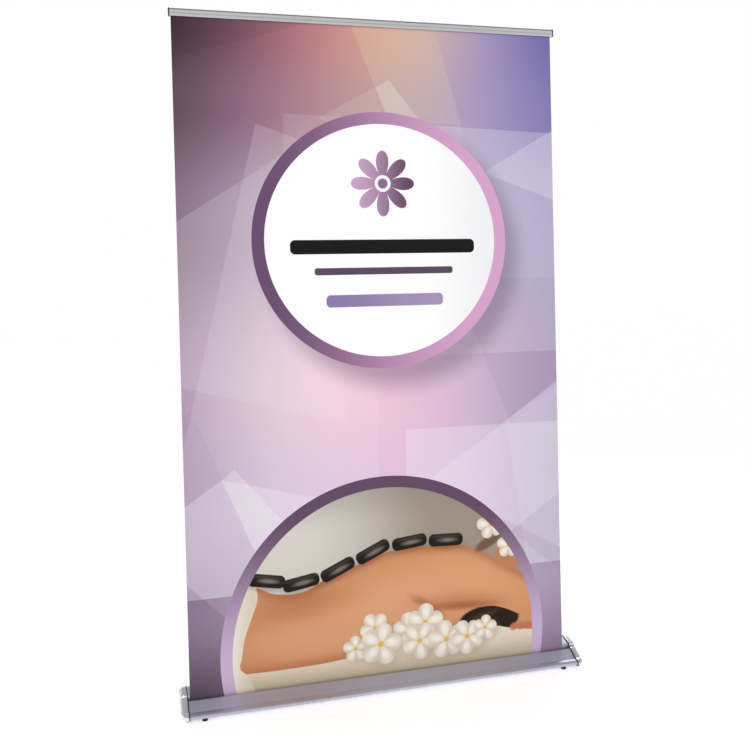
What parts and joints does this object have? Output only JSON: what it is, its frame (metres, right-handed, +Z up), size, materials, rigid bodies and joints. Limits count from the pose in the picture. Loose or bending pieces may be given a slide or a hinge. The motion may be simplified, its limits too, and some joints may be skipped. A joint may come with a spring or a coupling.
{
  "type": "roll-up banner stand",
  "caption": "Wide roll-up banner stand: low ribbed cassette with domed end caps, sprung roller, printed film, clamping top rail and telescopic rear pole.",
  "frame": {"origin": "on the floor, under the middle of the stand's outer box", "axes": "+X along the cassette to the right as seen from the front, the printed front faces -Y, +Z up"},
  "size_m": [1.3, 0.1513, 2.0973],
  "materials": {
    "anodised_aluminium": "satin anodised, fine lengthwise grain",
    "chrome_plastic": "bright chrome plating on moulded plastic",
    "steel": "zinc-plated",
    "black_plastic": "fine moulded texture",
    "rubber": "matt",
    "printed_film": "satin laminated print, pale grey back"
  },
  "bodies": {
    "cassette": {"cassette_extrusion": "anodised_aluminium", "left_end_plate": "steel", "right_end_plate": "steel", "left_end_cap": "chrome_plastic", "right_end_cap": "chrome_plastic", "left_plate_screw_front": "steel", "left_plate_screw_rear": "steel", "left_plate_screw_top": "steel", "right_plate_screw_front": "steel", "right_plate_screw_rear": "steel", "right_plate_screw_top": "steel", "foot_pad_front_left": "rubber", "foot_pad_front_right": "rubber", "foot_pad_rear_left": "rubber", "foot_pad_rear_right": "rubber", "cap_bumper_left": "chrome_plastic", "cap_bumper_right": "chrome_plastic", "pole_socket": "black_plastic", "socket_screw_left": "steel", "socket_screw_right": "steel", "spring_spindle": "steel", "spring_collar": "steel", "torsion_spring": "steel", "idler_pin": "steel", "film_run": "printed_film", "banner_graphic": "printed_film"},
    "roller": {"roller_tube": "anodised_aluminium", "drive_plug": "black_plastic", "idler_plug": "black_plastic", "spring_anchor": "black_plastic", "film_wraps": "printed_film"},
    "rail": {"rail_back": "anodised_aluminium", "rail_cap_left": "black_plastic", "rail_cap_right": "black_plastic"},
    "rail_jaw": {"rail_jaw": "anodised_aluminium"},
    "pole_lower": {"pole_foot": "black_plastic", "pole_lower_tube": "anodised_aluminium", "lower_clamp_collar": "black_plastic", "lower_clamp_pin": "steel"},
    "pole_middle": {"pole_middle_tube": "anodised_aluminium", "pole_middle_bush": "black_plastic", "middle_clamp_collar": "black_plastic", "middle_clamp_pin": "steel"},
    "pole_upper": {"pole_upper_tube": "anodised_aluminium", "pole_upper_bush": "black_plastic", "pole_hook": "black_plastic"},
    "lower_lever": {"lower_clamp_lever": "black_plastic"},
    "middle_lever": {"middle_clamp_lever": "black_plastic"}
  },
  "joints": [
    {"name": "rail_travel", "type": "slide", "parent": "cassette", "child": "rail", "axis": [0, 0, 1], "range_m": [-2.005, 0], "deforming": ["banner_graphic"]},
    {"name": "roller_spin", "type": "hinge", "parent": "cassette", "child": "roller", "pos_m": [0, 0.04275, 0.036], "axis": [1, 0, 0], "range_deg": [-6700, 0]},
    {"name": "rail_jaw_open", "type": "hinge", "parent": "rail", "child": "rail_jaw", "pos_m": [0, -0.00345, 2.0929], "axis": [-1, 0, 0], "range_deg": [0, 45]},
    {"name": "pole_tip_back", "type": "hinge", "parent": "cassette", "child": "pole_lower", "pos_m": [0, 0.03675, 0.0763], "axis": [-1, 0, 0], "range_deg": [0, 3]},
    {"name": "pole_middle_slide", "type": "slide", "parent": "pole_lower", "child": "pole_middle", "axis": [0, 0, 1], "range_m": [-0.57, 0]},
    {"name": "pole_upper_slide", "type": "slide", "parent": "pole_middle", "child": "pole_upper", "axis": [0, 0, 1], "range_m": [-0.57, 0]},
    {"name": "lower_lever_flip", "type": "hinge", "parent": "pole_lower", "child": "lower_lever", "pos_m": [0, 0.05445, 0.81313], "axis": [1, 0, 0], "range_deg": [0, 100]},
    {"name": "middle_lever_flip", "type": "hinge", "parent": "pole_middle", "child": "middle_lever", "pos_m": [0, 0.05295, 1.44243], "axis": [1, 0, 0], "range_deg": [0, 100]}
  ],
  "couplings": [
    {"joint": "roller_spin", "follows": "rail_travel", "rad_per_m": 58.1}
  ]
}
